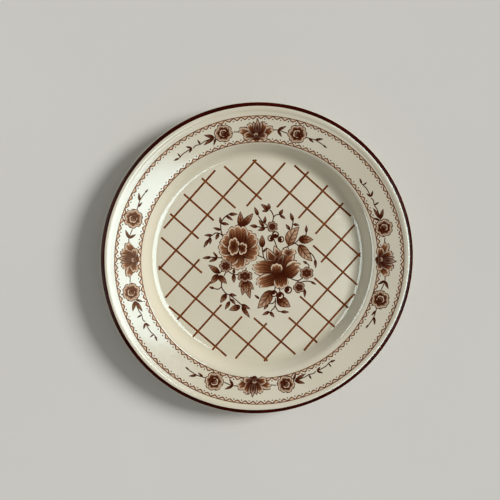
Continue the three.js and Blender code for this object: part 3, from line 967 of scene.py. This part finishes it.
BOUQUET_STEMS = (
    [(-28.5, 19), (-30.5, 22), (-31.2, 27), (-31, 30.5), (-29, 34), (-26.5, 36.5), (-24, 37.8)],
    [(-29, 19), (-32, 21.5), (-35.5, 22), (-38, 20.5), (-40, 19), (-43, 14.5)],
    [(-30, 0.5), (-34, 0.8), (-40, 1.3)],
    [(-30, -10.5), (-33, -13.2)],
    [(-26.5, -11), (-28.5, -15)],
    [(-25, -11), (-21, -13.5), (-15, -14.5)],
    [(-9.5, -8), (-10, -12)],
    [(-30.8, -18.5), (-30.5, -25), (-28.5, -28.5), (-26.5, -30.5), (-22, -33), (-14, -40)],
    [(-30.5, -24.5), (-33.5, -26.5), (-37, -26)],
    [(-23.6, -32.3), (-23.2, -37)],
    [(13, 30), (14, 36), (12, 40.5), (10.5, 41.5)],
    [(14, 35), (16, 37), (19, 37.3)],
    [(1, 36.5), (4, 32), (8.5, 28.4)],
    [(0, 27), (5, 26.5), (9.5, 26)],
    [(14.5, 16), (16, 12), (17.5, 8)],
    [(4.3, 9), (5, 4), (6, 0), (9, -4)],
    [(0.5, 2.4), (6, 0)],
    [(29, 22), (30.3, 27), (31, 32)],
    [(22, 8), (27, 10), (33, 13), (36.5, 16)],
    [(42, 18.5), (42.5, 22)],
    [(30, 11.4), (32.5, 12.4), (34.5, 11.5), (36, 9.5)],
    [(45, 5), (48.5, 1.5), (50.3, -2)],
    [(45, -9), (44.7, -6.5), (43, -5)],
    [(28, -17.5), (35, -20), (40, -17.5)],
    [(34, -19.6), (37, -21.4), (43, -20.5), (47, -21)],
    [(16, -21), (15.5, -27), (14.8, -30)],
    [(19, -26), (20, -30), (20, -32)],
    [(16, -35), (15.5, -42), (12, -46.5)],
    [(16, -37), (13.5, -39.6), (9.5, -39.7)],
    [(15.6, -41.5), (18, -46), (21, -47)],
)
# The three broad leaves show more of their pale blades.
BROAD_LEAVES = (
    # base, tip, width, bend, tone
    ((27, 10), (36.6, 27), 10, 2.2, 1.4),
    ((36, 11.5), (48, -3.4), 9, -0.8, 1.1),
    ((12.5, -28), (0.2, -44), 10, 1.0, 0.9),
)
FIVE_FINGERED_LEAF = (-10, -20)
FINGER_TIPS = ((-16, -25), (-13, -32.4), (-6, -35.4), (-2.8, -27.4), (-9, -31))
SMALL_FLOWERS = (
    # centre, radius, lobes, squash
    ((13, 27), 5, 7, 1.0),
    ((-27, -6.5), 5.8, 7, 1.0),
    ((-10.5, -15.5), 7, 6, 0.76),
    ((43, -13.5), 6.4, 6, 0.88),
    ((36.5, -26), 5.4, 5, 0.96),
)
BERRIES = (
    # centre, radius, direction of the shine
    ((11.8, 17), 2.9, 170),
    ((20.5, 16), 2.9, 10),
    ((15.8, 20), 3.1, 80),
    ((14.5, -31), 3.1, -60),
    ((20, -33), 3.5, -50),
    ((27, -28), 3.4, -20),
)


def bouquet():
    """Rose and lily among small flowers, berries and leaves on thin stems."""
    drawing = Drawing()
    for order, line in enumerate(BOUQUET_STEMS):
        drawing.stem(line, BOUQUET_STEM, level=order % 3)
    for order, (base, tip, width) in enumerate(BOUQUET_LEAVES):
        drawing.leaf(base, tip, width * BOUQUET_LEAF_SHARE, level=3 + order % 3, tone=0.2)
    for base, tip, width, bend, tone in BROAD_LEAVES:
        drawing.leaf(base, tip, width, bend=bend, tone=tone, level=6)
    for order, tip in enumerate(FINGER_TIPS):
        drawing.leaf(FIVE_FINGERED_LEAF, tip, 6, level=6 + order, tone=0.6)
    big_rose(drawing)
    big_lily(drawing)
    for centre, radius, lobes, squash in SMALL_FLOWERS:
        drawing.flower(centre, radius, lobes, level=12, tone=-0.45, squash=squash, depth=0.22)
        drawing.flower(centre, radius * 0.42, lobes, level=15, tone=-1.0, squash=squash)
        drawing.flower(centre, radius * 0.16, 1, level=18, tone=3.0)
    for order, (centre, radius, shine) in enumerate(BERRIES):
        drawing.berry(centre, radius, shine, level=13 + order)
    drawing.piece("bouquet", "bouquet_print", "flower_ink", flower_ink_look)


# ---- the plate --------------------------------------------------------------------------------------
settle(glaze_coat(), "glaze_coat", glaze_skin_look)
settle(base_glaze(), "base_glaze", glaze_skin_look)
settle(bisque_body(), "bisque_body", clay_material())
lip_band()
scalloped_border("outer_border", "outer_border_print", line_radius=122.95, depth=-2.4, scallops=114)
scalloped_border("inner_border", "inner_border_print", line_radius=101.25, depth=2.5, scallops=98)
trellis()
spray("spray_top", 1.6)
spray("spray_right", -90)
spray("spray_bottom", 178.6)
spray("spray_left", 89.8)
bouquet()


# ---- floor, lights and camera -----------------------------------------------------------------------
def aim(thing, target):
    """Turns a lamp or camera to face the target, with +Y at the top of its view."""
    backward = (thing.location - Vector(target)).normalized()
    right = Vector((0.0, 1.0, 0.0)).cross(backward).normalized()
    up = backward.cross(right)
    thing.rotation_euler = Matrix((right, up, backward)).transposed().to_euler()


def toward(bearing, slope):
    """Unit step away from the plate: bearing from +X towards +Y, slope from the vertical."""
    flat = sin(radians(slope))
    return Vector((flat * cos(radians(bearing)), flat * sin(radians(bearing)), cos(radians(slope))))


LAMP_DISTANCE = 2.2


def lamp(name, kind, bearing, slope, power, colour):
    """Lamp that faces the plate from the given direction."""
    light = bpy.data.lights.new(name, kind)
    light.energy = power
    light.color = colour
    thing = bpy.data.objects.new(name, light)
    thing.location = LAMP_DISTANCE * toward(bearing, slope)
    bpy.context.collection.objects.link(thing)
    aim(thing, (0.0, 0.0, PLATE_HEIGHT / 2))
    return thing


def key_light():
    """Soft light that shapes the plate and lies evenly over the floor; it leaves no glare of its own."""
    key = lamp("key", "SUN", bearing=20, slope=54, power=2.5, colour=(1.0, 0.98, 0.94))
    key.data.angle = radians(22)
    key.visible_glossy = False


def window(name, bearing, slope, size, power, colour):
    """Bright pane that is seen only as glare on the glaze."""
    pane = lamp(name, "AREA", bearing, slope, power, colour)
    pane.data.shape = "RECTANGLE"
    pane.data.size, pane.data.size_y = size
    pane.visible_diffuse = False


FLOOR_REACH = 6.0            # from the middle to each side


def pale_floor():
    """Wide flat sheet under the plate, at the height of the foot."""
    corners = [(x * FLOOR_REACH, y * FLOOR_REACH, 0.0) for x, y in ((-1, -1), (1, -1), (1, 1), (-1, 1))]
    floor = new_piece("floor", corners, [(0, 1, 2, 3)])
    floor.data.materials.append(floor_material())


def studio():
    """Even pale surroundings, the key light and two windows."""
    world = bpy.data.worlds.new("studio")
    world.use_nodes = True
    background = world.node_tree.nodes["Background"]
    background.inputs["Color"].default_value = srgb(205, 203, 198)
    background.inputs["Strength"].default_value = 0.45
    bpy.context.scene.world = world
    key_light()
    window("near_window", bearing=-12, slope=33, size=(1.54, 1.5), power=66.0, colour=(0.72, 0.94, 1.0))
    window("far_window", bearing=176, slope=49, size=(0.9, 2.4), power=44.0, colour=(0.86, 0.98, 0.96))


CAMERA_DISTANCE = 0.92
LOOK_HEIGHT = 20 * MM        # about the level of the flange
LOOK_AT = (-7.23 * MM, 8.53 * MM, LOOK_HEIGHT)


def photo_camera():
    """Long lens, almost straight above the plate and leaning a little towards its upper left."""
    camera = bpy.data.cameras.new("camera")
    camera.lens = 78.1
    camera.sensor_width = 36.0
    view = bpy.data.objects.new("camera", camera)
    bpy.context.collection.objects.link(view)
    view.location = Vector((0.0, 0.0, LOOK_HEIGHT)) + CAMERA_DISTANCE * toward(bearing=127, slope=9)
    aim(view, LOOK_AT)
    bpy.context.scene.camera = view


pale_floor()
studio()
photo_camera()
bpy.context.scene.view_settings.view_transform = "Standard"
